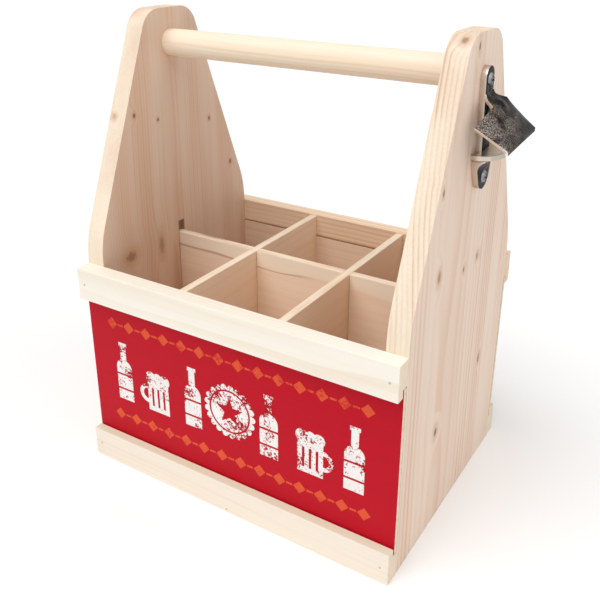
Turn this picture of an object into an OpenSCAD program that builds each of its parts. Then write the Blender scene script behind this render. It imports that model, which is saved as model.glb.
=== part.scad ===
// Six-bottle wooden caddy: two tapered end panels joined by a round handle, four rails,
// a printed front board, a halved divider grid and a bottle opener screwed to one end.
// X runs along the handle, Y from the printed front to the rear, Z up.
// The origin is the middle of the underside, on the surface that it stands on.

/* [End panels] */
// Overall width over the two end panels
body_w = 260; // [230:1:300]
// Depth of an end panel at the bottom, which is the inside depth of the box
end_d = 178; // [160:1:200]
// Thickness of an end panel
end_t = 15; // [13:0.5:18]
// Height of an end panel
end_h = 342; // [330:1:380]
// Height at which the sides of an end panel turn inwards
shoulder_h = 182; // [178:1:200]
// Radius of the turn at the shoulder
shoulder_r = 78; // [30:1:80]
// Width of the top of an end panel, measured to its sharp corners
top_w = 50; // [44:1:70]
// Radius of the top corners
top_r = 19; // [8:0.5:20]

/* [Handle] */
// Diameter of the handle
handle_dia = 20; // [18:0.5:26]
// Drop from the top of the end panels to the handle's axis
handle_drop = 25.5; // [24:0.5:37]
// Depth of the blind socket in each end panel
socket_depth = 6; // [4:0.5:7]
// Gap round the handle in its socket
socket_gap = 0.1; // [0.05:0.05:0.3]

/* [Rails] */
// Thickness of a rail
rail_t = 12; // [10:0.5:15]
// Height of a rail
rail_h = 25; // [22:0.5:30]
// Height of the upper rails' top edge
rail_top_z = 165; // [150:1:172]
// Width of the rebate that takes the edge of a side board
rebate_h = 6; // [4:0.5:8]
// Gap between a side board's edge and the end of its rebate
rebate_gap = 0.8; // [0.2:0.1:1]

/* [Side boards and base] */
// Thickness of the printed front board and of the rear board
board_t = 4; // [3:0.5:5]
// Thickness of the base board
base_t = 6; // [4:0.5:8]

/* [Dividers] */
// Thickness of a divider
divider_t = 6; // [4:0.5:7]
// Drop from the upper rails' top edge to the dividers' top edge
divider_drop = 1; // [0:1:25]
// Distance of each cross divider from the middle
cross_x = 41; // [36:1:46]
// Depth of the grooves in the end panels that hold the long divider
groove_depth = 3; // [2:0.5:5]
// Length of groove left open above the long divider
groove_over = 9; // [2:1:12]
// Gap between a divider and the side of its groove or slot
divider_gap = 0.2; // [0.1:0.05:0.4]

/* [Print] */
// Thickness of the red field of print
field_t = 0.2; // [0.1:0.05:0.3]
// Thickness of the shapes printed on the field
motif_t = 0.15; // [0.1:0.05:0.3]
// Height of a bottle in the print
bottle_h = 50; // [40:1:56]
// Diameter of the crown cap in the print
cap_dia = 44; // [34:1:50]
// Distance between neighbouring figures in the print
figure_step = 33; // [30:1:36]
// Width and height of a lozenge in the border rows
lozenge = 10; // [6:0.5:12]
// Distance of a border row from the middle of the print
border_rise = 40; // [38:1:44]

/* [Bottle opener] */
// Drop from the top of the end panel to the opener's top end
opener_drop = 20; // [16:1:24]
// Distance of the opener's tongue behind the middle of the end panel
opener_y = 2; // [-5:1:8]
// Lean of the opener's top towards the front, as it was screwed on, in degrees
opener_lean = 4; // [-6:1:6]
// Width of the upper tab and of the strap behind the hood
tab_w = 14; // [12:0.5:18]
// Thickness of the tabs
tab_t = 4; // [3:0.5:5]
// Drop from the top end to the line where the hood leaves the strap
neck_drop = 17; // [15:0.5:18]
// Drop from the top end to the hood's shoulders
shoulder_drop = 21; // [20:0.5:23]
// Distance of the hood's shoulders from the end panel
shoulder_reach = 10; // [8:0.5:11]
// Width of the hood over its shoulders
shoulder_w = 26; // [20:1:36]
// Drop from the top end to the hood's side corners
corner_drop = 29.5; // [27:0.5:33]
// Distance of the hood's side corners from the end panel
corner_reach = 7; // [4:0.5:9]
// Width of the hood over its side corners
corner_w = 60; // [54:1:64]
// Drop from the top end to the hood's lip
lip_drop = 43.5; // [41:0.5:46]
// Width of the hood's lip
lip_w = 52; // [44:1:60]
// Reach of the lip from the end panel
hood_reach = 26.5; // [22:0.5:29]
// Thickness of the hood's sheet
hood_t = 2.2; // [1.6:0.1:3]
// Drop from the top end to the tongue's upper face
tongue_drop = 52; // [50:0.5:55]
// Reach of the tongue from the end panel
tongue_reach = 17; // [14:0.5:19]
// Width of the tongue at the end panel
tongue_w = 30; // [28:1:34]
// Thickness of the tongue
tongue_t = 3; // [2.5:0.5:4]
// Width of the lower tab
lower_tab_w = 28; // [24:1:28]
// Height of the lower tab below the tongue
lower_tab_h = 23; // [21:0.5:26]
// Radius of the lower tab's upper corners
lower_foot_r = 3; // [1:0.5:5]
// Radius of the lower tab's rounded tip
lower_tip_r = 10; // [6:0.5:10]
// Radius of the hollow under the tongue
scoop_r = 9; // [6:0.5:9]

/* [Fasteners] */
// Diameter of an opener screw
screw_dia = 3.5; // [3:0.1:4]
// Diameter of an opener screw's head
screw_head_dia = 8; // [6:0.5:9]
// Height of an opener screw's head
screw_head_h = 2.4; // [1.8:0.1:3]
// Depth to which an opener screw enters the end panel
screw_depth = 7.5; // [6:0.5:8]
// Drop from the opener's top end to the upper screw
upper_screw_drop = 8; // [7:0.5:10]
// Distance from the opener's lower end up to the lower screw
lower_screw_rise = 8; // [7:0.5:10]
// Diameter of a brad
brad_dia = 1.6; // [1.2:0.1:2]
// Length of a brad
brad_len = 24; // [18:1:30]
// Distance of the rail brads from the end of a rail
brad_inset = 6; // [4:0.5:7.5]
// Gap round a screw or a brad in its hole
pilot_gap = 0.1; // [0.05:0.05:0.2]

/* [Hidden] */
$fn = 48;

pine = [0.96, 0.87, 0.75];
pale_pine = [0.99, 0.94, 0.87];
ply = [0.90, 0.78, 0.62];
red = [0.78, 0.13, 0.19];
orange = [0.88, 0.35, 0.24];
white = [0.97, 0.96, 0.94];
dark_steel = [0.30, 0.29, 0.29];
bright_steel = [0.72, 0.72, 0.72];

inner_x = body_w / 2 - end_t;
inner_y = end_d / 2;
handle_z = end_h - handle_drop;
lower_z = rail_h;
upper_z = rail_top_z - rail_h;
rebate_d = board_t + field_t + motif_t + rebate_gap;
board_low = lower_z - rebate_h + rebate_gap;
board_high = upper_z + rebate_h - rebate_gap;
print_mid_z = (lower_z + upper_z) / 2;
field_y = -inner_y - board_t;
motif_y = field_y - field_t;
groove_w = divider_t + 2 * divider_gap;
divider_top_z = rail_top_z - divider_drop;
divider_mid_z = (base_t + divider_top_z) / 2;
wall_x = body_w / 2;
opener_top_z = end_h - opener_drop;
tongue_z = opener_top_z - tongue_drop;
opener_bottom_z = tongue_z - tongue_t - lower_tab_h;
// Distance past a face that a cut runs, so that it leaves nothing behind
past = 1;

// Turns an outline drawn in Y and Z into a board that is t thick along X
module board_along_x(t) {
    rotate([90, 0, 90]) linear_extrude(t) children();
}

// Turns a flat figure into a layer t thick on the front, its face towards -Y
module layer_on_front(y, t) {
    translate([0, y, 0]) rotate([90, 0, 0]) linear_extrude(t) children();
}

// Outline of an end panel: upright sides, a soft shoulder, straight tapers and round top corners
module end_outline() {
    turn = atan((end_d - top_w) / 2 / (end_h - shoulder_h));
    shoulder_cut = shoulder_r * tan(turn / 2);
    top_cut = top_r * tan((90 - turn) / 2);
    arc_steps = 12;
    half = [
        [end_d / 2, 0],
        for (i = [0 : arc_steps]) let (a = turn * i / arc_steps)
            [end_d / 2 - shoulder_r * (1 - cos(a)), shoulder_h - shoulder_cut + shoulder_r * sin(a)],
        for (i = [0 : arc_steps]) let (a = turn + (90 - turn) * i / arc_steps)
            [top_w / 2 - top_cut + top_r * cos(a), end_h - top_r + top_r * sin(a)]
    ];
    polygon([each half, for (i = [len(half) - 1 : -1 : 0]) [-half[i][0], half[i][1]]]);
}

// One end panel with its inner face at x = 0 and its outer face at x = end_t
module end_panel() {
    difference() {
        board_along_x(end_t) end_outline();
        translate([-past, 0, handle_z]) rotate([0, 90, 0])
            cylinder(d = handle_dia + 2 * socket_gap, h = socket_depth + past);
        translate([-past, -groove_w / 2, -past])
            cube([groove_depth + past, groove_w, divider_top_z + groove_over + past]);
        for (side = [-1, 1], z = rail_mids())
            brad_hole(end_t - brad_inset, side, z);
    }
}

function rail_mids() = [rail_h / 2, rail_top_z - rail_h / 2];

// Hole for a brad driven in from the front (side -1) or the rear (side 1) at x and z
module brad_hole(x, side, z) {
    brad_at(x, side, z) cylinder(d = brad_dia + 2 * pilot_gap, h = brad_len + past);
}

// Puts a child that points along +Z where a brad lies, its head end on the rail's outer face
module brad_at(x, side, z) {
    translate([x, side * (inner_y + rail_t), z]) rotate([side * 90, 0, 0]) children();
}

module end_panel_left() {
    color(pine) translate([-inner_x, 0, 0]) mirror([1, 0, 0]) end_panel();
}

module end_panel_right() {
    color(pine) difference() {
        translate([inner_x, 0, 0]) end_panel();
        on_opener() for (z = screw_heights())
            translate([-screw_depth - past / 2, 0, z]) rotate([0, 90, 0])
                cylinder(d = screw_dia + 2 * pilot_gap, h = screw_depth + past);
    }
}

function screw_heights() = [opener_top_z - upper_screw_drop, opener_bottom_z + lower_screw_rise];

// Puts children drawn against a wall at x = 0 where the opener is, leaning about its tongue
module on_opener() {
    translate([wall_x, opener_y, tongue_z]) rotate([opener_lean, 0, 0]) translate([0, 0, -tongue_z]) children();
}

module handle() {
    reach = inner_x + socket_depth - socket_gap;
    color(pale_pine) translate([-reach, 0, handle_z]) rotate([0, 90, 0])
        cylinder(d = handle_dia, h = 2 * reach);
}

// One rail on its side of the box; the rebate faces the side board, up or down
module rail(side, low, rebate_up) {
    difference() {
        translate([-wall_x, side > 0 ? inner_y : -inner_y - rail_t, low])
            cube([body_w, rail_t, rail_h]);
        translate([
            -wall_x - past,
            side > 0 ? inner_y - past : -inner_y - rebate_d,
            rebate_up ? low + rail_h - rebate_h : low - past
        ])
            cube([body_w + 2 * past, rebate_d + past, rebate_h + past]);
        for (x = brad_places())
            brad_hole(x, side, low + rail_h / 2);
        if (rebate_up) brad_hole(0, side, base_t / 2);
    }
}

function brad_places() = [-wall_x + brad_inset, wall_x - brad_inset];

module front_top_rail() { color(pale_pine) rail(-1, upper_z, false); }
module front_bottom_rail() { color(pale_pine) rail(-1, 0, true); }
module rear_top_rail() { color(pale_pine) rail(1, upper_z, false); }
module rear_bottom_rail() { color(pale_pine) rail(1, 0, true); }

// Thin board that closes one long side and sits in the rebates of its two rails
module side_board(low_y) {
    translate([-wall_x, low_y, board_low]) cube([body_w, board_t, board_high - board_low]);
}

module front_board() { color(ply) side_board(-inner_y - board_t); }
module rear_board() { color(ply) side_board(inner_y); }

module print_field() {
    color(red) translate([-wall_x, field_y - field_t, board_low])
        cube([body_w, field_t, board_high - board_low]);
}

// Bottle seen from the side, with a bare stripe across its label, its foot at the origin
module bottle_figure() {
    body = bottle_h * 0.56;
    width = bottle_h * 0.30;
    neck = bottle_h * 0.11;
    difference() {
        union() {
            translate([-width / 2, 0]) square([width, body]);
            translate([0, body]) circle(d = width);
            translate([-neck / 2, body]) square([neck, bottle_h - body]);
            translate([-neck * 0.7, bottle_h * 0.94]) square([neck * 1.4, bottle_h * 0.06]);
        }
        for (z = [0.17, 0.43])
            translate([-width / 2 - past, bottle_h * z]) square([width + 2 * past, bottle_h * 0.035]);
    }
}

// Mug seen from the side, with a looped handle and a head of foam, its foot at the origin
module mug_figure() {
    height = bottle_h * 0.58;
    width = bottle_h * 0.40;
    loop_r = bottle_h * 0.16;
    foam_r = width * 0.24;
    difference() {
        union() {
            translate([-width / 2, 0]) square([width, height]);
            translate([width / 2, height * 0.48]) circle(r = loop_r);
            for (x = [-1, 0, 1]) translate([x * width * 0.33, height]) circle(r = foam_r);
        }
        intersection() {
            translate([width / 2, height * 0.48]) circle(r = loop_r * 0.58);
            translate([width / 2, 0]) square([loop_r, height]);
        }
        for (x = [-1, 0, 1])
            translate([x * width * 0.27 - width * 0.05, height * 0.14])
                square([width * 0.10, height * 0.56]);
    }
}

// Crown cap seen from above, with a bare ring and a bare star, its middle at the origin
module cap_figure() {
    teeth = 21;
    rim_r = cap_dia / 2;
    tooth_r = rim_r * 0.11;
    star_r = cap_dia * 0.27;
    difference() {
        union() {
            circle(r = rim_r - tooth_r);
            for (i = [0 : teeth - 1])
                rotate(i * 360 / teeth) translate([rim_r - tooth_r, 0]) circle(r = tooth_r, $fn = 24);
        }
        difference() {
            circle(r = rim_r * 0.80);
            circle(r = rim_r * 0.73);
        }
        polygon([for (i = [0 : 9]) (i % 2 == 0 ? star_r : star_r * 0.42) * [sin(i * 36), cos(i * 36)]]);
    }
}

module print_white() {
    color(white) layer_on_front(motif_y, motif_t) {
        translate([0, print_mid_z]) cap_figure();
        for (side = [-1, 1]) {
            for (place = [1, 3])
                translate([side * place * figure_step, print_mid_z - bottle_h / 2]) bottle_figure();
            translate([side * 2 * figure_step, print_mid_z - bottle_h / 2])
                mirror([side < 0 ? 1 : 0, 0]) mug_figure();
        }
    }
}

module lozenge_figure() {
    half = lozenge / 2;
    polygon([[half, 0], [0, half], [-half, 0], [0, -half]]);
}

// Two border rows of lozenges with a short bar between each pair
module print_orange() {
    pitch = figure_step / 2;
    bar = [pitch - lozenge - 1.5, 1.6];
    count = 7;
    color(orange) layer_on_front(motif_y, motif_t)
        for (side = [-1, 1]) translate([0, print_mid_z + side * border_rise]) {
            for (i = [-count + 0.5 : 1 : count - 0.5]) translate([i * pitch, 0]) lozenge_figure();
            for (i = [-count + 1 : count - 1]) translate([i * pitch - bar[0] / 2, -bar[1] / 2]) square(bar);
        }
}

module base_board() {
    color(ply) difference() {
        translate([-inner_x, -inner_y, 0]) cube([2 * inner_x, end_d, base_t]);
        for (side = [-1, 1]) brad_hole(0, side, base_t / 2);
    }
}

// Halving slot in a divider, centred on the crossing and open at the top or at the bottom
module halving_slot(along_x, open_top) {
    slot = divider_t + 2 * divider_gap;
    low = open_top ? divider_mid_z - divider_gap : base_t - past;
    high = open_top ? divider_top_z + past : divider_mid_z + divider_gap;
    size = along_x ? [slot, divider_t + 2 * past, high - low] : [divider_t + 2 * past, slot, high - low];
    translate([-size[0] / 2, -size[1] / 2, low]) cube(size);
}

module long_divider() {
    reach = inner_x + groove_depth - divider_gap;
    color(ply) difference() {
        translate([-reach, -divider_t / 2, base_t])
            cube([2 * reach, divider_t, divider_top_z - base_t]);
        for (x = [-cross_x, cross_x]) translate([x, 0, 0]) halving_slot(true, true);
    }
}

module cross_divider(x) {
    translate([x, 0, 0]) difference() {
        translate([-divider_t / 2, -inner_y, base_t]) cube([divider_t, end_d, divider_top_z - base_t]);
        halving_slot(false, false);
    }
}

module cross_divider_left() { color(ply) cross_divider(-cross_x); }
module cross_divider_right() { color(ply) cross_divider(cross_x); }

// Sheet of the hood between the given corners
module hood_sheet(corners) {
    hull() for (p = corners) translate(p) sphere(d = hood_t, $fn = 20);
}

// Outline of the lower tab: as wide as the tongue's foot, narrowing to a round tip
module lower_tab_outline() {
    hull() {
        for (s = [-1, 1])
            translate([s * (lower_tab_w / 2 - lower_foot_r), -lower_foot_r]) circle(r = lower_foot_r);
        translate([0, lower_tip_r - lower_tab_h]) circle(r = lower_tip_r);
    }
}

// Upper tab, strap, lower tab and tongue as one forging, against the wall at x = 0
module opener_back() {
    half_w = tongue_w / 2;
    tongue_r = (half_w * half_w + tongue_reach * tongue_reach) / 2 / tongue_reach;
    strap_low = tongue_z - tongue_t;
    translate([0, -tab_w / 2, strap_low])
        cube([tab_t, tab_w, opener_top_z - tab_w / 2 - strap_low]);
    translate([0, 0, opener_top_z - tab_w / 2]) rotate([0, 90, 0]) cylinder(d = tab_w, h = tab_t);
    intersection() {
        translate([tongue_reach - tongue_r, 0, opener_bottom_z])
            cylinder(r = tongue_r, h = tongue_z - opener_bottom_z, $fn = 96);
        union() {
            translate([0, 0, strap_low]) board_along_x(tongue_reach) lower_tab_outline();
            translate([0, -half_w, strap_low]) cube([tongue_reach, tongue_w, tongue_t]);
        }
        difference() {
            translate([0, -half_w, opener_bottom_z]) cube([tongue_reach, tongue_w, tongue_z - opener_bottom_z]);
            translate([tab_t + scoop_r, -half_w - past, strap_low - scoop_r]) rotate([-90, 0, 0])
                cylinder(r = scoop_r, h = tongue_w + 2 * past);
            translate([tab_t, -half_w - past, opener_bottom_z - past])
                cube([tongue_reach, tongue_w + 2 * past, strap_low - scoop_r - opener_bottom_z + past]);
            translate([tab_t + scoop_r, -half_w - past, opener_bottom_z - past])
                cube([tongue_reach, tongue_w + 2 * past, strap_low - opener_bottom_z + past]);
        }
    }
}

// Hood: a neck that leaves the strap and widens to the shoulders, a middle sheet down to the lip,
// and at each side a sheet that folds back to a corner near the wall
module opener_hood() {
    function at(s, reach, width, drop) = [reach - hood_t / 2, s * (width - hood_t) / 2, opener_top_z - drop];
    function neck(s) = at(s, tab_t, tab_w, neck_drop);
    function shoulder(s) = at(s, shoulder_reach, shoulder_w, shoulder_drop);
    function corner(s) = at(s, corner_reach, corner_w, corner_drop);
    function lip(s) = at(s, hood_reach, lip_w, lip_drop);
    hood_sheet([neck(-1), neck(1), shoulder(-1), shoulder(1)]);
    hood_sheet([shoulder(-1), shoulder(1), lip(-1), lip(1)]);
    for (s = [-1, 1]) hood_sheet([shoulder(s), corner(s), lip(s)]);
}

module bottle_opener() {
    color(dark_steel) on_opener() difference() {
        union() {
            opener_back();
            opener_hood();
        }
        for (z = screw_heights())
            translate([-past, 0, z]) rotate([0, 90, 0])
                cylinder(d = screw_dia + 2 * pilot_gap, h = tab_t + 2 * past);
    }
}

// Round-headed screw along X, the underside of its head at x = 0 and its shank towards -X
module screw() {
    dome_r = (pow(screw_head_dia / 2, 2) + pow(screw_head_h, 2)) / 2 / screw_head_h;
    recess = [screw_head_h * 0.6, screw_head_dia * 0.62, screw_head_dia * 0.14];
    difference() {
        union() {
            rotate([0, 90, 0]) rotate_extrude($fn = 64) intersection() {
                translate([0, screw_head_h - dome_r]) circle(r = dome_r, $fn = 96);
                square([screw_head_dia, screw_head_h]);
            }
            rotate([0, -90, 0]) cylinder(d = screw_dia, h = tab_t + screw_depth - pilot_gap);
        }
        for (turn = [0, 90])
            rotate([turn, 0, 0])
                translate([screw_head_h - recess[0], -recess[1] / 2, -recess[2] / 2])
                    cube([recess[0] + past, recess[1], recess[2]]);
    }
}

module opener_screws() {
    color(bright_steel)
        on_opener() for (z = screw_heights()) translate([tab_t, 0, z]) screw();
}

module brad() {
    cylinder(d = brad_dia, h = brad_len);
}

module rail_brads() {
    color(bright_steel)
        for (side = [-1, 1], x = brad_places(), z = rail_mids()) brad_at(x, side, z) brad();
}

module base_brads() {
    color(bright_steel) for (side = [-1, 1]) brad_at(0, side, base_t / 2) brad();
}

end_panel_left();
end_panel_right();
handle();
front_top_rail();
front_bottom_rail();
rear_top_rail();
rear_bottom_rail();
front_board();
rear_board();
print_field();
print_white();
print_orange();
base_board();
long_divider();
cross_divider_left();
cross_divider_right();
bottle_opener();
opener_screws();
rail_brads();
base_brads();
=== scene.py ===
# %% [markdown]
# A wooden carrier for six beer bottles: two tapered end boards, a round handle, four rails,
# a printed front board, a grid of thin dividers and a bottle opener screwed to one end.
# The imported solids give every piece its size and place, and this script gives each its looks.
# It works the way the carrier is made: one board, one dowel, one steel part at a time.

import math

import bmesh
import bpy
from mathutils import Matrix, Vector


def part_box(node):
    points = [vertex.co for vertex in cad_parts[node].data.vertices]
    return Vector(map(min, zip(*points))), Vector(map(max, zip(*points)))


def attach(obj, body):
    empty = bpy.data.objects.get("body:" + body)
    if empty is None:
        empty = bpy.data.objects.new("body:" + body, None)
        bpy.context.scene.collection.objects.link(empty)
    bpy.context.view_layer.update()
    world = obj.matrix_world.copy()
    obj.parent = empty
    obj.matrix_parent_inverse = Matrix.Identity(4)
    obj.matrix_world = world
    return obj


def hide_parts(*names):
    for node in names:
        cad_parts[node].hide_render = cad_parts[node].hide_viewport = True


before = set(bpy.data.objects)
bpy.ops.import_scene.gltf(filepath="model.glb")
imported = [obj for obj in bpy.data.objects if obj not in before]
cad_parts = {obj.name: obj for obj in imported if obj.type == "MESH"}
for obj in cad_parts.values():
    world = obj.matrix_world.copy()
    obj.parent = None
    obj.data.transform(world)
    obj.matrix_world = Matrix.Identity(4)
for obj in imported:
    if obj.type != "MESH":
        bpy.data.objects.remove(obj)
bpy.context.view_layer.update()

# %% [markdown]
# The camera stands in front, to the right and above, and looks down into the cells.
# Its place and turn are written as a photographer would note them: how far round the object,
# how far down it looks, a trace of roll, and the lens. A small vertical shift takes the place
# of tilting the camera, so that the upright edges lean as little as they do through a long lens.

# %% Camera
CAMERA_PLACE = Vector((0.2830, -0.4581, 0.4006))
CAMERA_ROUND = math.radians(31.71)
CAMERA_DOWN = math.radians(22.24)
CAMERA_ROLL = math.radians(-0.19)
CAMERA_LENS = 46.72
CAMERA_SHIFT = -0.10


def camera_turn(around, down, roll):
    """Turn of a camera that starts looking along +Y, with Z up."""
    ahead = Vector((-math.sin(around) * math.cos(down), math.cos(around) * math.cos(down), -math.sin(down)))
    side = ahead.cross(Vector((0, 0, 1))).normalized()
    up = side.cross(ahead)
    rolled_side = side * math.cos(roll) - up * math.sin(roll)
    rolled_up = rolled_side.cross(ahead)
    return Matrix((rolled_side, rolled_up, -ahead)).transposed().to_4x4()


camera = bpy.data.objects.new("camera", bpy.data.cameras.new("camera"))
bpy.context.scene.collection.objects.link(camera)
camera.matrix_world = Matrix.Translation(CAMERA_PLACE) @ camera_turn(CAMERA_ROUND, CAMERA_DOWN, CAMERA_ROLL)
camera.data.lens = CAMERA_LENS
camera.data.shift_y = CAMERA_SHIFT
camera.data.clip_start = 0.01
bpy.context.scene.camera = camera
bpy.context.scene.view_settings.view_transform = "Standard"

# %% [markdown]
# The studio is a wide pale floor in a white room. One large soft lamp high in front lights the
# print and the tops, a weak one from the right lifts the end board, and the room fills the
# cells. Lamps as far away as the sun light the whole floor evenly. A level of 1 is what makes
# a white card look white, so levels that add up to about 1 render a colour as it is written.

# %% Floor, lamps and room
FLOOR_REACH = 12.0
FLOOR_LIFT = 0.10
ROOM_LEVEL = 0.42


def lamp(name, towards, softness, level):
    """A distant soft lamp that lights a card facing it to the given level."""
    light = bpy.data.lights.new(name, "SUN")
    light.angle = math.radians(softness)
    light.energy = level * math.pi
    made = bpy.data.objects.new(name, light)
    bpy.context.scene.collection.objects.link(made)
    made.matrix_world = Vector(towards).to_track_quat("Z", "Y").to_matrix().to_4x4()
    return made


lamp("key_lamp", (-0.16, -0.46, 0.87), 50, 0.55)
lamp("side_lamp", (0.74, -0.12, 0.66), 60, 0.17)


def seen_directly(tree):
    """1 for rays that show a surface as the background, 0 for rays that carry its light."""
    path = tree.nodes.new("ShaderNodeLightPath")
    seen = path.outputs["Is Camera Ray"]
    for kind in ("Is Glossy Ray", "Is Transmission Ray"):
        either = tree.nodes.new("ShaderNodeMath")
        either.operation = "MAXIMUM"
        tree.links.new(seen, either.inputs[0])
        tree.links.new(path.outputs[kind], either.inputs[1])
        seen = either.outputs[0]
    return seen


room = bpy.data.worlds.new("studio_room")
bpy.context.scene.world = room
room.use_nodes = True
room_tree = room.node_tree
room_light = room_tree.nodes["Background"]
room_level = room_tree.nodes.new("ShaderNodeMapRange")
room_level.inputs["To Min"].default_value = ROOM_LEVEL
room_level.inputs["To Max"].default_value = 1.0
room_tree.links.new(seen_directly(room_tree), room_level.inputs["Value"])
room_tree.links.new(room_level.outputs["Result"], room_light.inputs["Strength"])
room_light.inputs["Color"].default_value = (1, 1, 1, 1)

floor_mesh = bpy.data.meshes.new("studio_floor")
floor_work = bmesh.new()
bmesh.ops.create_grid(floor_work, x_segments=1, y_segments=1, size=FLOOR_REACH)
floor_work.to_mesh(floor_mesh)
floor_work.free()
floor = bpy.data.objects.new("studio_floor", floor_mesh)
bpy.context.scene.collection.objects.link(floor)
floor_finish = bpy.data.materials.new("studio_floor")
floor_finish.use_nodes = True
floor_tree = floor_finish.node_tree
floor_shader = floor_tree.nodes["Principled BSDF"]
floor_shader.inputs["Base Color"].default_value = (0.93, 0.93, 0.93, 1)
floor_shader.inputs["Roughness"].default_value = 0.9
floor_shader.inputs["Specular IOR Level"].default_value = 0.1
floor_shader.inputs["Emission Color"].default_value = (1, 1, 1, 1)
floor_lift = floor_tree.nodes.new("ShaderNodeMath")
floor_lift.operation = "MULTIPLY"
floor_lift.inputs[1].default_value = FLOOR_LIFT
floor_tree.links.new(seen_directly(floor_tree), floor_lift.inputs[0])
floor_tree.links.new(floor_lift.outputs[0], floor_shader.inputs["Emission Strength"])
floor_mesh.materials.append(floor_finish)
print("lamps:", len(bpy.data.lights))

# %% [markdown]
# Wood is mostly a matter of one idea: year rings are long tubes round the heart of the tree,
# and a board is a straight cut through them. If the rings are worked out in space, the wide
# faces, the edges and the end grain of a board all agree at its corners, as on real timber.
# The helpers below add a node, wire it, and keep the materials short enough to read.

# %% Node helpers
def add(tree, kind, inputs=None, **settings):
    """Adds a node; an input is given a plain value or another node's socket."""
    made = tree.nodes.new("ShaderNode" + kind)
    for name, value in settings.items():
        setattr(made, name, value)
    for name, value in (inputs or {}).items():
        if isinstance(value, bpy.types.NodeSocket):
            tree.links.new(value, made.inputs[name])
        else:
            made.inputs[name].default_value = value
    return made


def sum_of(tree, operation, *values, clamp=False):
    """One step of arithmetic on numbers or sockets."""
    made = add(tree, "Math", dict(enumerate(values)), operation=operation, use_clamp=clamp)
    return made.outputs[0]


def ramp(tree, value, low, high, to_low=0.0, to_high=1.0):
    """A soft step: below low it gives to_low, above high it gives to_high."""
    inputs = {"Value": value, "From Min": low, "From Max": high, "To Min": to_low, "To Max": to_high}
    return add(tree, "MapRange", inputs, interpolation_type="SMOOTHSTEP").outputs["Result"]


def blend_colours(tree, share, first, second, how="MIX"):
    """Mixes two colours, each a tuple or a socket, by a share between 0 and 1."""
    made = add(tree, "Mix", data_type="RGBA", blend_type=how)
    for index, value in ((0, share), (6, first), (7, second)):
        if isinstance(value, bpy.types.NodeSocket):
            tree.links.new(value, made.inputs[index])
        else:
            made.inputs[index].default_value = value
    return made.outputs[2]


def streaks(tree, place, scale, detail=3.0, rough=0.6):
    """Noise stretched by the three scales, which are cycles a metre along X, Y and Z."""
    stretched = add(tree, "Mapping", {"Vector": place, "Scale": scale})
    noise = add(tree, "TexNoise", {"Vector": stretched.outputs[0], "Scale": 1.0, "Detail": detail,
                                   "Roughness": rough})
    return noise.outputs["Fac"]


def new_group(name, inputs, outputs):
    """An empty shader group with named sockets; returns its tree, its inputs and its output node."""
    tree = bpy.data.node_groups.new(name, "ShaderNodeTree")
    for label, kind, value in inputs:
        socket = tree.interface.new_socket(label, in_out="INPUT", socket_type="NodeSocket" + kind)
        if value is not None:
            socket.default_value = value
    for label, kind in outputs:
        tree.interface.new_socket(label, in_out="OUTPUT", socket_type="NodeSocket" + kind)
    return tree, tree.nodes.new("NodeGroupInput").outputs, tree.nodes.new("NodeGroupOutput")


def use_group(tree, group, inputs):
    """Places a group in a material with this material's own values."""
    made = tree.nodes.new("ShaderNodeGroup")
    made.node_tree = group
    for name, value in inputs.items():
        if isinstance(value, bpy.types.NodeSocket):
            tree.links.new(value, made.inputs[name])
        else:
            made.inputs[name].default_value = value
    return made.outputs


def srgb(red, green, blue):
    """A colour as a paint chart gives it, from 0 to 255, made linear for the shader."""
    def linear(value):
        share = value / 255
        return share / 12.92 if share <= 0.04045 else ((share + 0.055) / 1.055) ** 2.4

    return (linear(red), linear(green), linear(blue), 1.0)


# %% [markdown]
# The year rings: X runs along the grain, and the rings are circles in Y and Z round the pith.
# A slow noise bends them, each ring ends in a thin dark line of late wood, and some years
# are stronger than others. Fine fibres run along the grain on every cut. A bulge, which the
# knots give, pushes the rings aside so that the grain flows round them.

# %% Group: year rings
def year_rings():
    tree, given, out = new_group(
        "year_rings",
        [("Place", "Vector", None), ("Spacing", "Float", 0.003), ("Wobble", "Float", 0.004),
         ("Bulge", "Float", 0.0)],
        [("Late Wood", "Float"), ("Fibre", "Float"), ("Tone", "Float")],
    )
    bend = add(tree, "Mapping", {"Vector": given["Place"], "Scale": (3.5, 9.0, 9.0)})
    bent = add(tree, "TexNoise", {"Vector": bend.outputs[0], "Scale": 1.0, "Detail": 2.5})
    swing = add(tree, "VectorMath", {0: bent.outputs["Color"], 1: (0.5, 0.5, 0.5)}, operation="SUBTRACT")
    push = add(tree, "VectorMath", {0: swing.outputs[0], "Scale": given["Wobble"]}, operation="SCALE")
    moved = add(tree, "VectorMath", {0: given["Place"], 1: push.outputs[0]}, operation="ADD")
    flat = add(tree, "VectorMath", {0: moved.outputs[0], 1: (0, 1, 1)}, operation="MULTIPLY")
    radius = add(tree, "VectorMath", {0: flat.outputs[0]}, operation="LENGTH").outputs["Value"]
    shifted = sum_of(tree, "ADD", radius, given["Bulge"])
    years = sum_of(tree, "DIVIDE", shifted, given["Spacing"])
    season = sum_of(tree, "FRACT", years)
    rise = ramp(tree, season, 0.35, 0.92)
    fall = ramp(tree, season, 0.93, 1.0, 1.0, 0.0)
    line = sum_of(tree, "MULTIPLY", rise, fall)
    year = sum_of(tree, "FLOOR", years)
    strength = add(tree, "TexWhiteNoise", {"W": year}, noise_dimensions="1D").outputs["Value"]
    strong = ramp(tree, strength, 0.0, 1.0, 0.25, 1.0)
    late = sum_of(tree, "MULTIPLY", line, strong)
    fine = streaks(tree, given["Place"], (14, 1300, 1300), 3.0, 0.65)
    pale = streaks(tree, given["Place"], (3.0, 45, 45), 2.0, 0.5)
    tree.links.new(late, out.inputs["Late Wood"])
    tree.links.new(fine, out.inputs["Fibre"])
    tree.links.new(pale, out.inputs["Tone"])
    return tree


YEAR_RINGS = year_rings()

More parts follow.
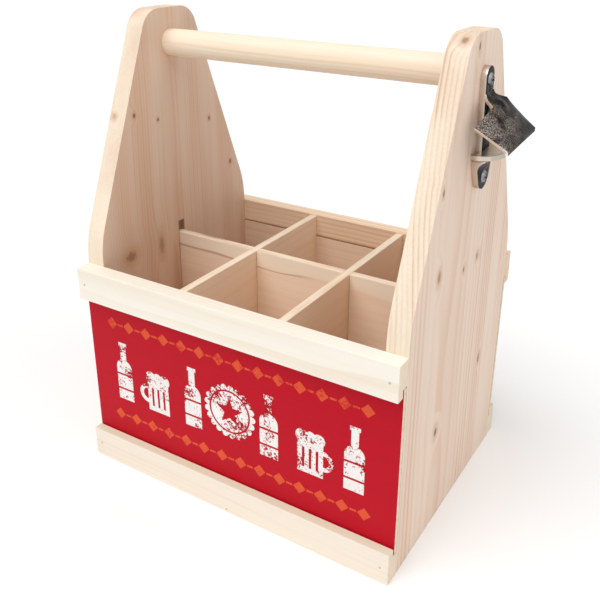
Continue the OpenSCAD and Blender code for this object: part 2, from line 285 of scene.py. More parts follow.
# %% [markdown]
# A knot is where a branch left the trunk: a small dark core that lies across the board, a
# reddish halo, and grain that flows round it. The group measures how far a point is from
# the knot's axis, in knot sizes, so one group serves pin knots and large ones.

# %% Group: knot
def knot():
    tree, given, out = new_group(
        "knot",
        [("Place", "Vector", None), ("Centre", "Vector", None), ("Size", "Vector", None)],
        [("Core", "Float"), ("Halo", "Float"), ("Bulge", "Float")],
    )
    jitter = add(tree, "TexNoise", {"Vector": given["Place"], "Scale": 420.0, "Detail": 2.0})
    shake = add(tree, "VectorMath", {0: jitter.outputs["Color"], 1: (0.5, 0.5, 0.5)}, operation="SUBTRACT")
    offset = add(tree, "VectorMath", {0: given["Place"], 1: given["Centre"]}, operation="SUBTRACT")
    sized = add(tree, "VectorMath", {0: offset.outputs[0], 1: given["Size"]}, operation="DIVIDE")
    ragged = add(tree, "VectorMath", {0: sized.outputs[0], 1: shake.outputs[0]}, operation="ADD")
    far = add(tree, "VectorMath", {0: ragged.outputs[0]}, operation="LENGTH").outputs["Value"]
    tree.links.new(ramp(tree, far, 0.35, 1.25, 1.0, 0.0), out.inputs["Core"])
    tree.links.new(ramp(tree, far, 0.9, 2.6, 1.0, 0.0), out.inputs["Halo"])
    smooth = add(tree, "VectorMath", {0: sized.outputs[0]}, operation="LENGTH").outputs["Value"]
    tree.links.new(ramp(tree, smooth, 0.0, 5.0, 0.004, 0.0), out.inputs["Bulge"])
    return tree


KNOT = knot()

# %% [markdown]
# Solid pine for the end boards, the handle and the rails. The faces are pale, the late wood
# is a warm line, the edges and the ends are sanded a little paler still, and the planed
# surface keeps a trace of its fibres as bump. Each board is cut from another place in the
# tree, so every piece names its own pith, and the end boards name their knots too.

# %% Solid pine
PINE_EDGE = srgb(250, 234, 212)
PINE_WOBBLE = 0.012
KNOT_HALO = srgb(205, 150, 105)
KNOT_CORE = srgb(112, 66, 40)
# Painted shade: the groove is darkened, partly as scorched wood, and a thin painted shadow line runs along
# its rim.
GROOVE_SHADE_AND_SCORCH = srgb(166, 128, 100)
GROOVE_SHADE_REACH = 0.0040
RIM_SHADOW_WIDTH = 0.0007
GRAIN_ORDER = {"x": ("X", "Y", "Z"), "y": ("Y", "Z", "X"), "z": ("Z", "X", "Y")}
AXIS = {"x": (1, 0, 0), "y": (0, 1, 0), "z": (0, 0, 1)}


def along_grain(tree, place, grain, pith):
    """Turns the place so that X runs along the grain, and moves the pith to the origin."""
    parts = add(tree, "SeparateXYZ", {0: place}).outputs
    order = GRAIN_ORDER[grain]
    turned = add(tree, "CombineXYZ", {i: parts[name] for i, name in enumerate(order)})
    return add(tree, "Mapping", {"Vector": turned.outputs[0], "Location": pith}).outputs[0]


def facing(tree, normal, axis, low=0.55, high=0.85):
    """1 where the surface faces along the axis, either way, and 0 where it runs along it."""
    dot = add(tree, "VectorMath", {0: normal, 1: AXIS[axis]}, operation="DOT_PRODUCT").outputs["Value"]
    return ramp(tree, sum_of(tree, "ABSOLUTE", dot), low, high)


def knots_in(tree, place, knots):
    """Joins the knots of a board into one core mask, one halo mask and one bulge."""
    core, halo, bulge = 0.0, 0.0, 0.0
    for centre, size, depth in knots:
        parts = use_group(tree, KNOT, {"Place": place, "Centre": centre, "Size": size})
        core = sum_of(tree, "MAXIMUM", core, sum_of(tree, "MULTIPLY", parts["Core"], depth))
        halo = sum_of(tree, "MAXIMUM", halo, parts["Halo"])
        bulge = sum_of(tree, "ADD", bulge, parts["Bulge"])
    return core, halo, bulge


def groove_mask(tree, place, inner_face, half_width, top):
    """1 in a groove milled into an end board, where the colour is painted shade over partly scorched wood,
    and in a painted shadow line along its rim.
    """
    parts = add(tree, "SeparateXYZ", {0: place}).outputs
    away = sum_of(tree, "ABSOLUTE", parts["X"])
    inside = sum_of(tree, "LESS_THAN", away, inner_face + GROOVE_SHADE_REACH)
    beside = ramp(tree, sum_of(tree, "ABSOLUTE", parts["Y"]), half_width, half_width + RIM_SHADOW_WIDTH, 1.0, 0.0)
    below = ramp(tree, parts["Z"], top - RIM_SHADOW_WIDTH, top + RIM_SHADOW_WIDTH, 1.0, 0.0)
    return sum_of(tree, "MULTIPLY", sum_of(tree, "MULTIPLY", inside, beside), below)


def pine(name, grain, pith, early, late, spacing=0.0032, contrast=0.55, tone=0.22, knots=(),
         calm=0.0, edge=None, edge_axis="y", kerf=None):
    """Planed pine. Its narrow faces look along the edge axis: calm softens their lines, edge colours them."""
    material = bpy.data.materials.new(name)
    material.use_nodes = True
    tree = material.node_tree
    shader = tree.nodes["Principled BSDF"]
    coordinates = add(tree, "TexCoord").outputs
    core, halo, bulge = knots_in(tree, coordinates["Object"], knots)
    place = along_grain(tree, coordinates["Object"], grain, pith)
    rings = use_group(tree, YEAR_RINGS, {"Place": place, "Spacing": spacing, "Wobble": PINE_WOBBLE,
                                         "Bulge": bulge})
    end = facing(tree, coordinates["Normal"], grain)
    band = ramp(tree, rings["Tone"], 0.36, 0.62, 0.25, 1.0)
    narrow = facing(tree, coordinates["Normal"], edge_axis)
    still = sum_of(tree, "MULTIPLY_ADD", narrow, -calm, 1.0)
    strength = sum_of(tree, "MULTIPLY", sum_of(tree, "MULTIPLY", band, still), contrast)
    lines = sum_of(tree, "MULTIPLY", rings["Late Wood"], strength)
    fibre = ramp(tree, rings["Fibre"], 0.35, 0.75, 0.0, 0.16)
    share = sum_of(tree, "ADD", lines, fibre, clamp=True)
    if edge:
        early = blend_colours(tree, narrow, early, edge)
    wood = blend_colours(tree, share, blend_colours(tree, end, early, PINE_EDGE), late)
    toned = blend_colours(tree, ramp(tree, rings["Tone"], 0.35, 0.7, 0.0, tone), wood, late)
    ended = blend_colours(tree, sum_of(tree, "MULTIPLY", end, 0.14), toned, late, "MULTIPLY")
    haloed = blend_colours(tree, sum_of(tree, "MULTIPLY", halo, 0.40), ended, KNOT_HALO)
    planed = blend_colours(tree, sum_of(tree, "MULTIPLY", core, 0.85), haloed, KNOT_CORE)
    # Painted shade in the groove and a painted shadow line beside it, partly scorched wood.
    if kerf:
        planed = blend_colours(tree, groove_mask(tree, coordinates["Object"], *kerf), planed, GROOVE_SHADE_AND_SCORCH)
    tree.links.new(planed, shader.inputs["Base Color"])
    rough = ramp(tree, rings["Fibre"], 0.3, 0.8, 0.50, 0.66)
    tree.links.new(rough, shader.inputs["Roughness"])
    height = sum_of(tree, "MULTIPLY_ADD", rings["Fibre"], 0.6, sum_of(tree, "MULTIPLY", lines, 0.5))
    bump = add(tree, "Bump", {"Height": height, "Strength": 0.22, "Distance": 0.0004})
    tree.links.new(bump.outputs[0], shader.inputs["Normal"])
    shader.inputs["Specular IOR Level"].default_value = 0.35
    return material


# %% [markdown]
# Boards start as a copy of their solid. The copy is merged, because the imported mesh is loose
# triangles, then its flat triangles are dissolved into clean faces, and the long edges get the
# slight easing that sandpaper leaves. Edges round a nail or a screw hole stay sharp.

# %% Boards with eased edges
NAIL_ZONE = 0.0032
ZONE_STEP = 0.002


def merged_copy(node_name):
    """A bmesh of a solid with its doubles merged and its flat faces whole."""
    work = bmesh.new()
    work.from_mesh(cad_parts[node_name].data)
    bmesh.ops.remove_doubles(work, verts=work.verts, dist=1e-6)
    bmesh.ops.dissolve_limit(work, angle_limit=math.radians(0.5), verts=work.verts, edges=work.edges)
    return work


def finished_piece(name, work, material, nodes, smooth_below=22):
    """Turns a bmesh into a piece of the carrier that stands for the given solids."""
    mesh = bpy.data.meshes.new(name)
    bmesh.ops.recalc_face_normals(work, faces=work.faces)
    work.to_mesh(mesh)
    work.free()
    mesh.shade_smooth()
    mesh.set_sharp_from_angle(angle=math.radians(smooth_below))
    piece = bpy.data.objects.new(name, mesh)
    bpy.context.scene.collection.objects.link(piece)
    mesh.materials.append(material)
    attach(piece, "root")
    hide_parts(*nodes)
    print(name, "faces:", len(mesh.polygons))
    return piece


def ease_edges(work, width, steps=2, leave=()):
    """Bevels the sharp edges that lie outside the spheres in leave, given as (centre, radius)."""
    def is_free(edge):
        middle = (edge.verts[0].co + edge.verts[1].co) / 2
        return all((middle - Vector(centre)).length > radius for centre, radius in leave)

    sharp = [e for e in work.edges if e.is_manifold and e.calc_face_angle() > math.radians(35) and is_free(e)]
    bmesh.ops.bevel(work, geom=sharp, affect="EDGES", offset=width, offset_type="OFFSET", segments=steps,
                    profile=0.5, material=-1, clamp_overlap=True)


def nail_zones():
    """Places of the nails and screws, each with the radius of the zone round its head."""
    zones = []
    for node_name in ("rail_brads", "base_brads", "opener_screws"):
        mesh = merged_copy(node_name)
        for part in loose_parts(mesh):
            low = Vector([min(v.co[i] for v in part) for i in range(3)])
            high = Vector([max(v.co[i] for v in part) for i in range(3)])
            steps = max(2, int((high - low).length / ZONE_STEP))
            zones += [(low.lerp(high, i / steps), NAIL_ZONE) for i in range(steps + 1)]
        mesh.free()
    return zones


def loose_parts(work):
    """The separate islands of a bmesh, each as a list of its vertices."""
    left = set(work.verts)
    parts = []
    while left:
        start = left.pop()
        part, front = [start], [start]
        while front:
            for edge in front.pop().link_edges:
                for vert in edge.verts:
                    if vert in left:
                        left.discard(vert)
                        part.append(vert)
                        front.append(vert)
        parts.append(part)
    return parts


NAILS = nail_zones()
print("nail zones:", len(NAILS))

# %% [markdown]
# The two end boards are pine with the grain upright. The inner face of the left one and the
# outer face of the right one show best, and each has its own knots. The left one is given a
# darker colour, which is painted shade on its inner face. A small knot on the front edge of
# each stays on that edge.

# %% End boards
GROOVE_PLAY = 0.0003
GROOVE_RISE = 0.0095
PINE_LATE = srgb(216, 170, 138)
BOARD_EASE = 0.0007
wall_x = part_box("end_panel_right")[1].x
inner_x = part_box("end_panel_right")[0].x
divider_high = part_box("long_divider")[1]
groove = (inner_x, divider_high.y + GROOVE_PLAY, divider_high.z + GROOVE_RISE)


def knot_through(x, y, z, wide, tall, depth=1.0):
    """A knot that runs through an end board from the given point of its face; depth is how dark it is."""
    return ((x, y, z), (0.05, wide, tall), depth)


def edge_knot(x, y, z, size, depth=0.6):
    """A knot that shows on the edge of an end board only."""
    return ((x, y, z), (size, 2 * size, size), depth)


right_knots = [
    knot_through(wall_x, -0.0130, 0.3340, 0.0013, 0.0027),
    knot_through(wall_x, -0.0530, 0.2560, 0.0012, 0.0026),
    knot_through(wall_x, -0.0500, 0.2010, 0.0026, 0.0046, 0.65),
    knot_through(wall_x, 0.0180, 0.1910, 0.0020, 0.0030, 0.60),
    knot_through(wall_x, -0.0065, 0.1900, 0.0014, 0.0022, 0.80),
    knot_through(wall_x, 0.0440, 0.0980, 0.0013, 0.0040),
    knot_through(wall_x, -0.0350, 0.0800, 0.0024, 0.0036),
    edge_knot(wall_x - 0.0055, -0.0240, 0.3385, 0.0022, 0.7),
]
left_knots = [
    knot_through(-inner_x, -0.0451, 0.2690, 0.0015, 0.0020),
    knot_through(-inner_x, -0.0198, 0.2610, 0.0013, 0.0016),
    knot_through(-inner_x, 0.0420, 0.2500, 0.0015, 0.0022),
    knot_through(-inner_x, 0.0690, 0.2060, 0.0016, 0.0024),
    knot_through(-inner_x, -0.0600, 0.1620, 0.0062, 0.0050, 0.60),
    knot_through(-inner_x, -0.0250, 0.1600, 0.0030, 0.0085, 0.45),
    edge_knot(-wall_x + 0.0042, -0.0575, 0.2690, 0.0022, 0.7),
]
END_BOARDS = (
    # The left board's darker colour is painted shade, for its inner face that lies in shade.
    ("end_panel_left", (0.0, 0.135, 0.01), srgb(233, 206, 183), 0.0022, left_knots, 0.88, 0.42),
    ("end_panel_right", (0.0, -0.21, 0.03), srgb(249, 227, 208), 0.0030, right_knots, -0.45, 0.22),
)
for node_name, pith, early, spacing, knots, calm, tone in END_BOARDS:
    board = merged_copy(node_name)
    ease_edges(board, BOARD_EASE, leave=NAILS)
    wood = pine(node_name + "_pine", "z", pith, early, PINE_LATE, spacing=spacing, contrast=0.75,
                knots=knots, calm=calm, edge=PINE_EDGE, tone=tone, kerf=groove)
    finished_piece(node_name + "_board", board, wood, [node_name])

# %% [markdown]
# The rails are paler and plainer. They are planed square, with hardly any easing, and their
# grain runs along them. The narrow edges of the bottom ones are greyer and darker: painted
# shade under the boards, which also holds back the pink light bounced from the print.

# %% Rails
RAIL_EASE = 0.0004
GREY_SHADE_EDGE = srgb(226, 227, 202)
PALE_RAIL = (srgb(249, 239, 223), srgb(233, 209, 180))
WHITE_RAIL = (srgb(255, 250, 238), srgb(242, 222, 194))
# The rear top rail's warm colour is partly a warmer board and partly painted warm bounce light from the
# cells.
WARM_BOUNCE_RAIL = (srgb(255, 233, 206), srgb(224, 166, 120))
RAILS = (
    ("front_top_rail", (0.0, 0.26, -0.12), WHITE_RAIL, 0.60),
    ("front_bottom_rail", (0.0, 0.22, 0.10), PALE_RAIL, 0.45),
    ("rear_top_rail", (0.0, -0.05, -0.22), WARM_BOUNCE_RAIL, 0.90),
    ("rear_bottom_rail", (0.0, -0.16, 0.08), PALE_RAIL, 0.55),
)
for node_name, pith, (early, late), contrast in RAILS:
    rail = merged_copy(node_name)
    ease_edges(rail, RAIL_EASE, leave=NAILS)
    # The grey on the bottom rails' narrow edges is painted shade.
    edge = GREY_SHADE_EDGE if "bottom" in node_name else early
    wood = pine(node_name + "_pine", "x", pith, early, late, contrast=contrast, edge=edge, edge_axis="z")
    finished_piece(node_name + "_piece", rail, wood, [node_name])

# %% [markdown]
# The handle is a turned dowel: one cylinder of many sides, and its two ends, hidden in their
# sockets, get the small chamfer that lets them be driven home.

# %% Handle
HANDLE_SIDES = 96
END_CHAMFER = 0.0008


def handle_dowel():
    low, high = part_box("handle")
    radius = (high.z - low.z) / 2
    work = bmesh.new()
    bmesh.ops.create_cone(work, cap_ends=True, segments=HANDLE_SIDES, radius1=radius, radius2=radius,
                          depth=high.x - low.x)
    rims = [e for e in work.edges if e.calc_face_angle() > math.radians(60)]
    bmesh.ops.bevel(work, geom=rims, affect="EDGES", offset=END_CHAMFER, segments=2, profile=0.5, material=-1)
    turn = Matrix.Rotation(math.radians(90), 4, "Y")
    bmesh.ops.transform(work, matrix=Matrix.Translation((low + high) / 2) @ turn, verts=work.verts)
    return work


handle_wood = pine("handle_pine", "x", (0.0, 0.03, -0.345), srgb(255, 240, 218), srgb(240, 202, 162),
                   spacing=0.0026, contrast=0.6)
finished_piece("handle_dowel", handle_dowel(), handle_wood, ["handle"])

# %% [markdown]
# The base, the side boards and the dividers are thin boards of soft, even wood. Their faces
# are sanded smooth and hardly show any grain, apart from a stray darker line that wanders
# along the long divider, with the face above it painted paler as light above a shadow edge.
# The sawn edges are paler and show a few long marks.

# %% Thin boards
THIN_CONTRAST = 0.16
PAINTED_LIT_BAND = srgb(255, 242, 220)
STRAY_BROWN = srgb(164, 112, 80)
SCAR_BROWN = srgb(140, 94, 66)
SAWN_PALE = srgb(250, 231, 208)
SAWN_DARK = srgb(234, 204, 174)
# Painted shade in the joint between a side board and the end boards.
JOINT_SHADE = srgb(128, 102, 84)
JOINT_SHADE_WIDTH = 0.0011
LINE_FADE = 0.030


def stray_line(tree, place, height, drop, wander, width, end):
    """A darker line along X at a height, which drops, wanders and fades at its end, and the part above it,
    which is painted paler as light above a shadow edge.
    """
    parts = add(tree, "SeparateXYZ", {0: place}).outputs
    along = sum_of(tree, "MULTIPLY", parts["X"], 14.0)
    course = add(tree, "TexNoise", {"W": along, "Scale": 1.0, "Detail": 1.0},
                 noise_dimensions="1D").outputs["Fac"]
    swing = sum_of(tree, "MULTIPLY_ADD", course, 2 * wander, -wander)
    slope = sum_of(tree, "MULTIPLY_ADD", parts["X"], drop, height)
    gap = sum_of(tree, "SUBTRACT", parts["Z"], sum_of(tree, "ADD", slope, swing))
    thick = ramp(tree, course, 0.3, 0.7, width * 0.5, width * 1.6)
    share = sum_of(tree, "DIVIDE", sum_of(tree, "ABSOLUTE", gap), thick)
    fading = ramp(tree, parts["X"], end - LINE_FADE, end, 1.0, 0.0)
    line = sum_of(tree, "MULTIPLY", ramp(tree, share, 0.2, 1.0, 1.0, 0.0), fading)
    return line, ramp(tree, gap, -0.0010, 0.0020)


def thin_board(name, grain, across, pith, early, late, stray=None, scar=None, joint=None):
    """Smooth board, across its thickness axis; stray is a darker line with painted light above it, scar is a
    mark, joint is the Y of a gap whose sawn edges get painted shade.
    """
    material = bpy.data.materials.new(name)
    material.use_nodes = True
    tree = material.node_tree
    shader = tree.nodes["Principled BSDF"]
    coordinates = add(tree, "TexCoord").outputs
    place = along_grain(tree, coordinates["Object"], grain, pith)
    rings = use_group(tree, YEAR_RINGS, {"Place": place, "Spacing": 0.0075, "Wobble": 0.03, "Bulge": 0.0})
    lines = sum_of(tree, "MULTIPLY", rings["Late Wood"], THIN_CONTRAST)
    fibre = ramp(tree, rings["Fibre"], 0.35, 0.75, 0.0, 0.16)
    cloud = ramp(tree, rings["Tone"], 0.3, 0.7, 0.0, 0.22)
    share = sum_of(tree, "ADD", sum_of(tree, "ADD", lines, fibre), cloud, clamp=True)
    veneer = blend_colours(tree, share, early, late)
    if stray:
        line, above = stray_line(tree, coordinates["Object"], *stray)
        # Painted light: the face above the line is made paler, as the lit side of a shadow edge.
        lit_above = blend_colours(tree, sum_of(tree, "MULTIPLY", above, 0.7), veneer, PAINTED_LIT_BAND)
        veneer = blend_colours(tree, sum_of(tree, "MULTIPLY", line, 0.55), lit_above, STRAY_BROWN)
    edge = sum_of(tree, "SUBTRACT", 1.0, facing(tree, coordinates["Normal"], across))
    long_marks = streaks(tree, place, (22, 260, 260), 2.0)
    sawn = blend_colours(tree, ramp(tree, long_marks, 0.36, 0.76), SAWN_PALE, SAWN_DARK)
    board = blend_colours(tree, edge, veneer, sawn)
    if scar:
        mark = use_group(tree, KNOT, {"Place": coordinates["Object"], "Centre": scar[0], "Size": scar[1]})
        board = blend_colours(tree, sum_of(tree, "MULTIPLY", mark["Core"], 0.6), board, SCAR_BROWN)
    if joint:
        # Painted shade: the sawn edges are darkened next to the end boards, where the joint lies in shade.
        depth = sum_of(tree, "ABSOLUTE", add(tree, "SeparateXYZ", {0: coordinates["Object"]}).outputs["Y"])
        joint_shade = ramp(tree, depth, joint, joint + JOINT_SHADE_WIDTH, 1.0, 0.0)
        board = blend_colours(tree, sum_of(tree, "MULTIPLY", joint_shade, edge), board, JOINT_SHADE)
    tree.links.new(board, shader.inputs["Base Color"])
    tree.links.new(ramp(tree, rings["Fibre"], 0.3, 0.8, 0.55, 0.72), shader.inputs["Roughness"])
    bump = add(tree, "Bump", {"Height": rings["Fibre"], "Strength": 0.12, "Distance": 0.0002})
    tree.links.new(bump.outputs[0], shader.inputs["Normal"])
    shader.inputs["Specular IOR Level"].default_value = 0.3
    return material


THIN_EARLY = srgb(254, 229, 204)
THIN_LATE = srgb(226, 180, 142)
THIN_EASE = 0.00025
END_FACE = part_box("front_board")[1].y
DIVIDER_LINE = (divider_high.z - 0.0122, -0.012, 0.0040, 0.0013, 0.018)
DIVIDER_SCAR = ((-0.084, divider_high.y - 0.0012, divider_high.z), (0.0150, 0.0012, 0.0015))
DIVIDER_MARKS_AND_LIT_BAND = {"stray": DIVIDER_LINE, "scar": DIVIDER_SCAR}
THIN_BOARDS = (
    ("long_divider", "x", "y", (0.0, 0.02, -0.30), "divider_wood", DIVIDER_MARKS_AND_LIT_BAND),
    ("cross_divider_left", "y", "x", (0.0, 0.22, 0.10), "divider_wood", {}),
    ("cross_divider_right", "y", "x", (0.0, -0.20, -0.12), "divider_wood", {}),
    ("front_board", "x", "y", (0.0, 0.05, -0.2), "thin_board", {"joint": -END_FACE}),
    ("rear_board", "x", "y", (0.0, -0.05, -0.25), "thin_board", {"joint": -END_FACE}),
    ("base_board", "x", "z", (0.0, 0.25, 0.02), "thin_board", {}),
)
for node_name, grain, across, pith, slot_name, marks_and_painted_light in THIN_BOARDS:
    board = merged_copy(node_name)
    ease_edges(board, THIN_EASE, leave=NAILS)
    wood = thin_board(node_name + "_wood", grain, across, pith, THIN_EARLY, THIN_LATE, **marks_and_painted_light)
    finished_piece(node_name + "_sheet", board, wood, [node_name])

# %% [markdown]
# The print is silk-screened on the front board: a flat red field, then white and orange
# figures that were made to look worn, with specks where the red shows through. The specks
# are two noises of different size cut off at a level, and they crowd towards the top.

# %% Print
RED_INK = srgb(196, 14, 36)
INK_SHADE = srgb(150, 30, 36)


def ink(name, colour, speck_colour, amount, low, high):
    """A satin ink; amount is the share of specks at the bottom and at the top of the print."""
    material = bpy.data.materials.new(name)
    material.use_nodes = True
    tree = material.node_tree
    shader = tree.nodes["Principled BSDF"]
    place = add(tree, "TexCoord").outputs["Object"]
    clouds = streaks(tree, place, (55, 55, 55), 3.0, 0.6)
    grit = streaks(tree, place, (560, 560, 560), 4.0, 0.75)
    rise = ramp(tree, add(tree, "SeparateXYZ", {0: place}).outputs["Z"], low, high, amount[0], amount[1])
    mixed = sum_of(tree, "MULTIPLY_ADD", clouds, 0.45, sum_of(tree, "MULTIPLY", grit, 0.55))
    level = sum_of(tree, "ADD", mixed, rise)
    worn = ramp(tree, level, 0.60, 0.62)
    tone = streaks(tree, place, (12, 12, 90), 2.0)
    base = blend_colours(tree, ramp(tree, tone, 0.3, 0.7, 0.0, 0.10), colour, INK_SHADE)
    tree.links.new(blend_colours(tree, worn, base, speck_colour), shader.inputs["Base Color"])
    tree.links.new(ramp(tree, grit, 0.3, 0.7, 0.38, 0.50), shader.inputs["Roughness"])
    weave = streaks(tree, place, (40, 900, 900), 3.0)
    bump = add(tree, "Bump", {"Height": weave, "Strength": 0.06, "Distance": 0.0003})
    tree.links.new(bump.outputs[0], shader.inputs["Normal"])
    shader.inputs["Specular IOR Level"].default_value = 0.10
    return material


print_low, print_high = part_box("print_field")
INKS = (
    ("print_field", RED_INK, srgb(190, 24, 40), (-0.20, -0.20)),
    ("print_white", srgb(255, 252, 248), srgb(176, 12, 32), (0.055, 0.105)),
    ("print_orange", srgb(232, 92, 56), srgb(214, 58, 48), (0.02, 0.08)),
)
for node_name, colour, speck_colour, amount in INKS:
    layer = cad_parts[node_name]
    layer.data.materials.clear()
    layer.data.materials.append(ink(node_name + "_ink", colour, speck_colour, amount,
                                    print_low.z, print_high.z))

# %% [markdown]
# The opener is cast steel, blackened and then tumbled, so that its broad faces stay dark and
# its rims are rubbed bright. Two parts meet in it: a back that is screwed to the board, with a
# tongue that grips the cap, and a curved hood above. The back keeps the solid's own shape and
# gets rounded rims. The hood is made here as one curved sheet, which is then given its
# thickness. Dark steel shines too much at a low angle, so a tint holds it back there.

# %% Steel
POLISH = "polish"
BLACKENED = srgb(38, 34, 33)
BARE_STEEL = srgb(212, 200, 188)
WORN_AND_LIT_STEEL = srgb(204, 190, 178)
DARK_GLANCE = 0.62


def steel(name, face, bright, rough, side_shine=1.0, wear=0.25, glance=1.0, lit_patch=None):
    """Dark steel with bright sides; glance dims it at low angles, rub is a point and a reach of painted
    light, which brightens the steel round it on top of its wear patches.
    """
    material = bpy.data.materials.new(name)
    material.use_nodes = True
    tree = material.node_tree
    shader = tree.nodes["Principled BSDF"]
    coordinates = add(tree, "TexCoord").outputs
    place = coordinates["Object"]
    side = sum_of(tree, "SUBTRACT", 1.0, facing(tree, coordinates["Normal"], "x", 0.60, 0.90))
    marked = add(tree, "Attribute", attribute_name=POLISH).outputs["Fac"]
    polished = sum_of(tree, "MAXIMUM", sum_of(tree, "MULTIPLY", side, side_shine), marked)
    patches = streaks(tree, place, (110, 110, 110), 4.0, 0.6)
    grit = streaks(tree, place, (1300, 1300, 1300), 3.0, 0.6)
    level = patches
    # Painted light: round the given point the steel is made brighter, a gradient of light across the hood.
    if lit_patch:
        away = add(tree, "VectorMath", {0: place, 1: lit_patch[0]}, operation="DISTANCE").outputs["Value"]
        level = sum_of(tree, "ADD", patches, ramp(tree, away, 0.0, lit_patch[1], 0.24, 0.0))
    worn = sum_of(tree, "MULTIPLY", ramp(tree, level, 0.48, 0.74), ramp(tree, grit, 0.40, 0.64))
    faces = blend_colours(tree, sum_of(tree, "MULTIPLY", worn, wear), face, bright)
    colour = blend_colours(tree, polished, faces, bright)
    tree.links.new(colour, shader.inputs["Base Color"])
    shader.inputs["Metallic"].default_value = 1.0
    shader.inputs["Specular Tint"].default_value = (glance, glance, glance, 1.0)
    tree.links.new(ramp(tree, patches, 0.3, 0.7, rough, rough + 0.14), shader.inputs["Roughness"])
    bump = add(tree, "Bump", {"Height": grit, "Strength": 0.12, "Distance": 0.0003})
    tree.links.new(bump.outputs[0], shader.inputs["Normal"])
    return material


# %% [markdown]
# The back is cut out of the solid: one copy keeps what lies below the hood, another keeps the
# tab above it, and the two open ends are bridged along the strap. Its rims are rolled, and the
# rolled faces and the tongue are marked in an attribute, so that the steel is bright there.

# %% Opener, back
RIM_ROUND = 0.0006
UPPER_SCREW_DROP = 0.008
HOOD_TOP = 0.0155
HOOD_FOOT = 0.0470
HOOD_SHEET = 0.0022
TONGUE_START = 0.0066
TONGUE_POLISH = 0.8


def screw_middles():
    """The middle of each opener screw on the face of the board, the upper one first."""
    mesh = merged_copy("opener_screws")
    middles = []
    for part in loose_parts(mesh):
        crown = [v.co for v in part if v.co.x > wall_x]
        middles.append(Vector((wall_x, *(sum(v[i] for v in crown) / len(crown) for i in (1, 2)))))
    mesh.free()
    return sorted(middles, key=lambda middle: -middle.z)


upper_screw, lower_screw = screw_middles()
OPENER_UP = (upper_screw - lower_screw).normalized()
OPENER_SIDE = OPENER_UP.cross(Vector((1, 0, 0)))
OPENER_TOP = upper_screw + OPENER_UP * UPPER_SCREW_DROP


def on_opener(reach, side, drop):
    """A point of the opener from its reach off the board, its place to the side and its drop from the top."""
    return OPENER_TOP + Vector((reach, 0, 0)) + OPENER_SIDE * side - OPENER_UP * drop


def cut_loop(work, drop):
    """The edges of a cut that lie at the given drop."""
    return [e for e in work.edges if e.is_boundary
            and all(abs((v.co - OPENER_TOP).dot(OPENER_UP) + drop) < 1e-5 for v in e.verts)]


def opener_back():
    work = merged_copy("bottle_opener")
    upper = merged_copy("bottle_opener")
    for part, drop, clear_above in ((work, HOOD_FOOT, True), (upper, HOOD_TOP, False)):
        geometry = part.verts[:] + part.edges[:] + part.faces[:]
        bmesh.ops.bisect_plane(part, geom=geometry, plane_co=on_opener(0, 0, drop), plane_no=OPENER_UP,
                               clear_outer=clear_above, clear_inner=not clear_above)
    carried = bpy.data.meshes.new("opener_tab")
    upper.to_mesh(carried)
    upper.free()
    work.from_mesh(carried)
    bpy.data.meshes.remove(carried)
    bmesh.ops.bridge_loops(work, edges=cut_loop(work, HOOD_FOOT) + cut_loop(work, HOOD_TOP))
    bmesh.ops.dissolve_limit(work, angle_limit=math.radians(0.5), verts=work.verts, edges=work.edges)
    return work


def round_rims(work, width, steps=3, sharper_than=40):
    """Rolls the sharp edges and marks the rolled faces as polished."""
    polish = work.faces.layers.float.new(POLISH)
    rims = [e for e in work.edges if e.is_manifold and e.calc_face_angle() > math.radians(sharper_than)]
    made = bmesh.ops.bevel(work, geom=rims, affect="EDGES", offset=width, offset_type="OFFSET",
                           segments=steps, profile=0.5, material=-1, clamp_overlap=True)
    for face in made["faces"]:
        face[polish] = 1.0
    print("rims rolled:", len(rims), "faces:", len(made["faces"]))


def rub_tongue(work):
    """Marks the faces that stand out beyond the tabs: the tongue, which the caps keep bright."""
    polish = work.faces.layers.float[POLISH]
    for face in work.faces:
        if face.calc_center_median().x > wall_x + TONGUE_START:
            face[polish] = TONGUE_POLISH


opener = opener_back()
round_rims(opener, RIM_ROUND)
rub_tongue(opener)
back_steel = steel("opener_back_steel", BLACKENED, BARE_STEEL, 0.26, wear=0.10, glance=DARK_GLANCE)
finished_piece("opener_back", opener, back_steel, ["bottle_opener"], smooth_below=32)

# %% [markdown]
# The hood is one curved sheet. A few points lay out its rows from the neck to the lip, and a
# corner on each hand folds back towards the board. The lip is turned down, the middle is
# crowned, and Subdivision Surface makes the sheet flow. Solidify then gives it its thickness
# and puts the bright steel on its rim, and a small Bevel softens the rim's edges.

# %% Opener, hood
NECK = (0.0044, 0.0070, 0.0155)
THROAT = (0.0050, 0.0068, 0.0185)
SHOULDER = (0.0112, 0.0126, 0.0210)
CORNER = (0.0070, 0.0305, 0.0292)
LIP = (0.0264, 0.0264, 0.0424)
LIP_TURN = 0.0024
CROWN = 0.0010
LIP_ARCH = 0.0014
LIT_PATCH_REACH = 0.040


def hood_pair(row):
    """The left and right point of a row, given as reach from the board, half width and drop."""
    reach, half, drop = row
    return [on_opener(reach, hand * half, drop) for hand in (-1, 1)]


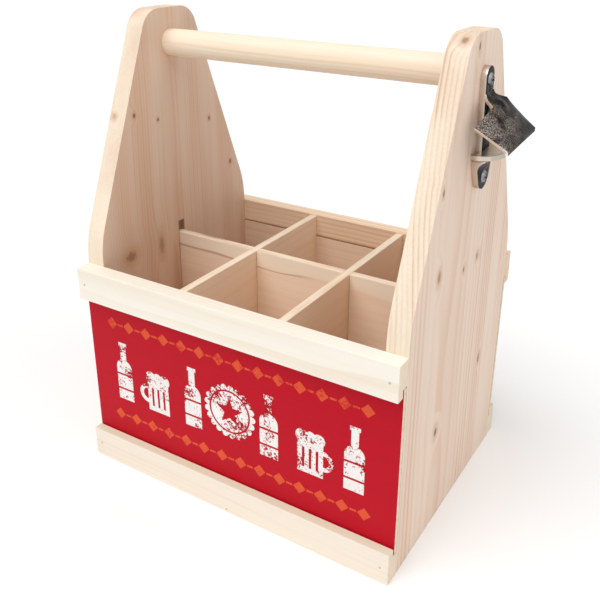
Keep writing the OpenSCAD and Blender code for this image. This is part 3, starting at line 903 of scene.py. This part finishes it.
def opener_hood():
    work = bmesh.new()
    stiff = work.verts.layers.float.new("crease_vert")
    rows = [[work.verts.new(place) for place in hood_pair(row)] for row in (NECK, THROAT, SHOULDER, LIP)]
    corners = [work.verts.new(place) for place in hood_pair(CORNER)]
    for above, below in zip(rows, rows[1:]):
        work.faces.new((above[0], above[1], below[1], below[0]))
    shoulder, lip = rows[2:]
    for hand in (0, 1):
        work.faces.new((shoulder[hand], lip[hand], corners[hand]))
    for vert in rows[0] + lip:
        vert[stiff] = 0.8
    for vert in shoulder + corners:
        vert[stiff] = 0.6
    turned = bmesh.ops.extrude_edge_only(work, edges=[work.edges.get(lip)])
    folded = [g for g in turned["geom"] if isinstance(g, bmesh.types.BMVert)]
    bmesh.ops.translate(work, vec=-OPENER_UP * LIP_TURN, verts=folded)
    geometry = work.verts[:] + work.edges[:] + work.faces[:]
    bmesh.ops.bisect_plane(work, geom=geometry, plane_co=OPENER_TOP, plane_no=OPENER_SIDE)
    for vert in work.verts:
        place = vert.co - OPENER_TOP
        if abs(place.dot(OPENER_SIDE)) < 1e-6 and -place.dot(OPENER_UP) > SHOULDER[2] - 1e-5:
            vert.co += OPENER_UP * LIP_ARCH + Vector((CROWN, 0, 0))
    bmesh.ops.recalc_face_normals(work, faces=work.faces)
    if sum(face.normal.x for face in work.faces) < 0:
        bmesh.ops.reverse_faces(work, faces=work.faces)
    return work


hood_mesh = bpy.data.meshes.new("opener_hood")
hood = opener_hood()
hood.to_mesh(hood_mesh)
hood.free()
hood_mesh.shade_smooth()
hood_piece = bpy.data.objects.new("opener_hood", hood_mesh)
bpy.context.scene.collection.objects.link(hood_piece)
# The painted light is brightest at the hood's lower front corner and fades over its reach.
lit_patch_point = on_opener(0.012, -0.024, 0.038)
hood_mesh.materials.append(steel("opener_hood_steel", BLACKENED, WORN_AND_LIT_STEEL, 0.24, side_shine=0.0,
                                 wear=0.50, glance=DARK_GLANCE, lit_patch=(lit_patch_point, LIT_PATCH_REACH)))
hood_mesh.materials.append(steel("opener_rim_steel", BARE_STEEL, srgb(236, 230, 222), 0.20))
curve = hood_piece.modifiers.new("curve", "SUBSURF")
curve.levels = curve.render_levels = 4
sheet = hood_piece.modifiers.new("sheet", "SOLIDIFY")
sheet.thickness = HOOD_SHEET
sheet.offset = -1
sheet.use_even_offset = True
sheet.material_offset_rim = 1
rim = hood_piece.modifiers.new("rim", "BEVEL")
rim.width = 0.0004
rim.segments = 2
rim.limit_method = "ANGLE"
rim.angle_limit = math.radians(50)
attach(hood_piece, "root")
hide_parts("bottle_opener")
print("hood faces before its modifiers:", len(hood_mesh.polygons))

screw_finish = steel("screw_plating", srgb(112, 113, 114), srgb(200, 201, 202), 0.26, side_shine=0.3)
nail_finish = steel("nail_wire", srgb(212, 198, 182), srgb(228, 216, 202), 0.45, side_shine=0.0)
FASTENERS = (("opener_screws", screw_finish), ("rail_brads", nail_finish), ("base_brads", nail_finish))
for node_name, finish in FASTENERS:
    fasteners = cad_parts[node_name]
    fasteners.data.materials.clear()
    fasteners.data.materials.append(finish)
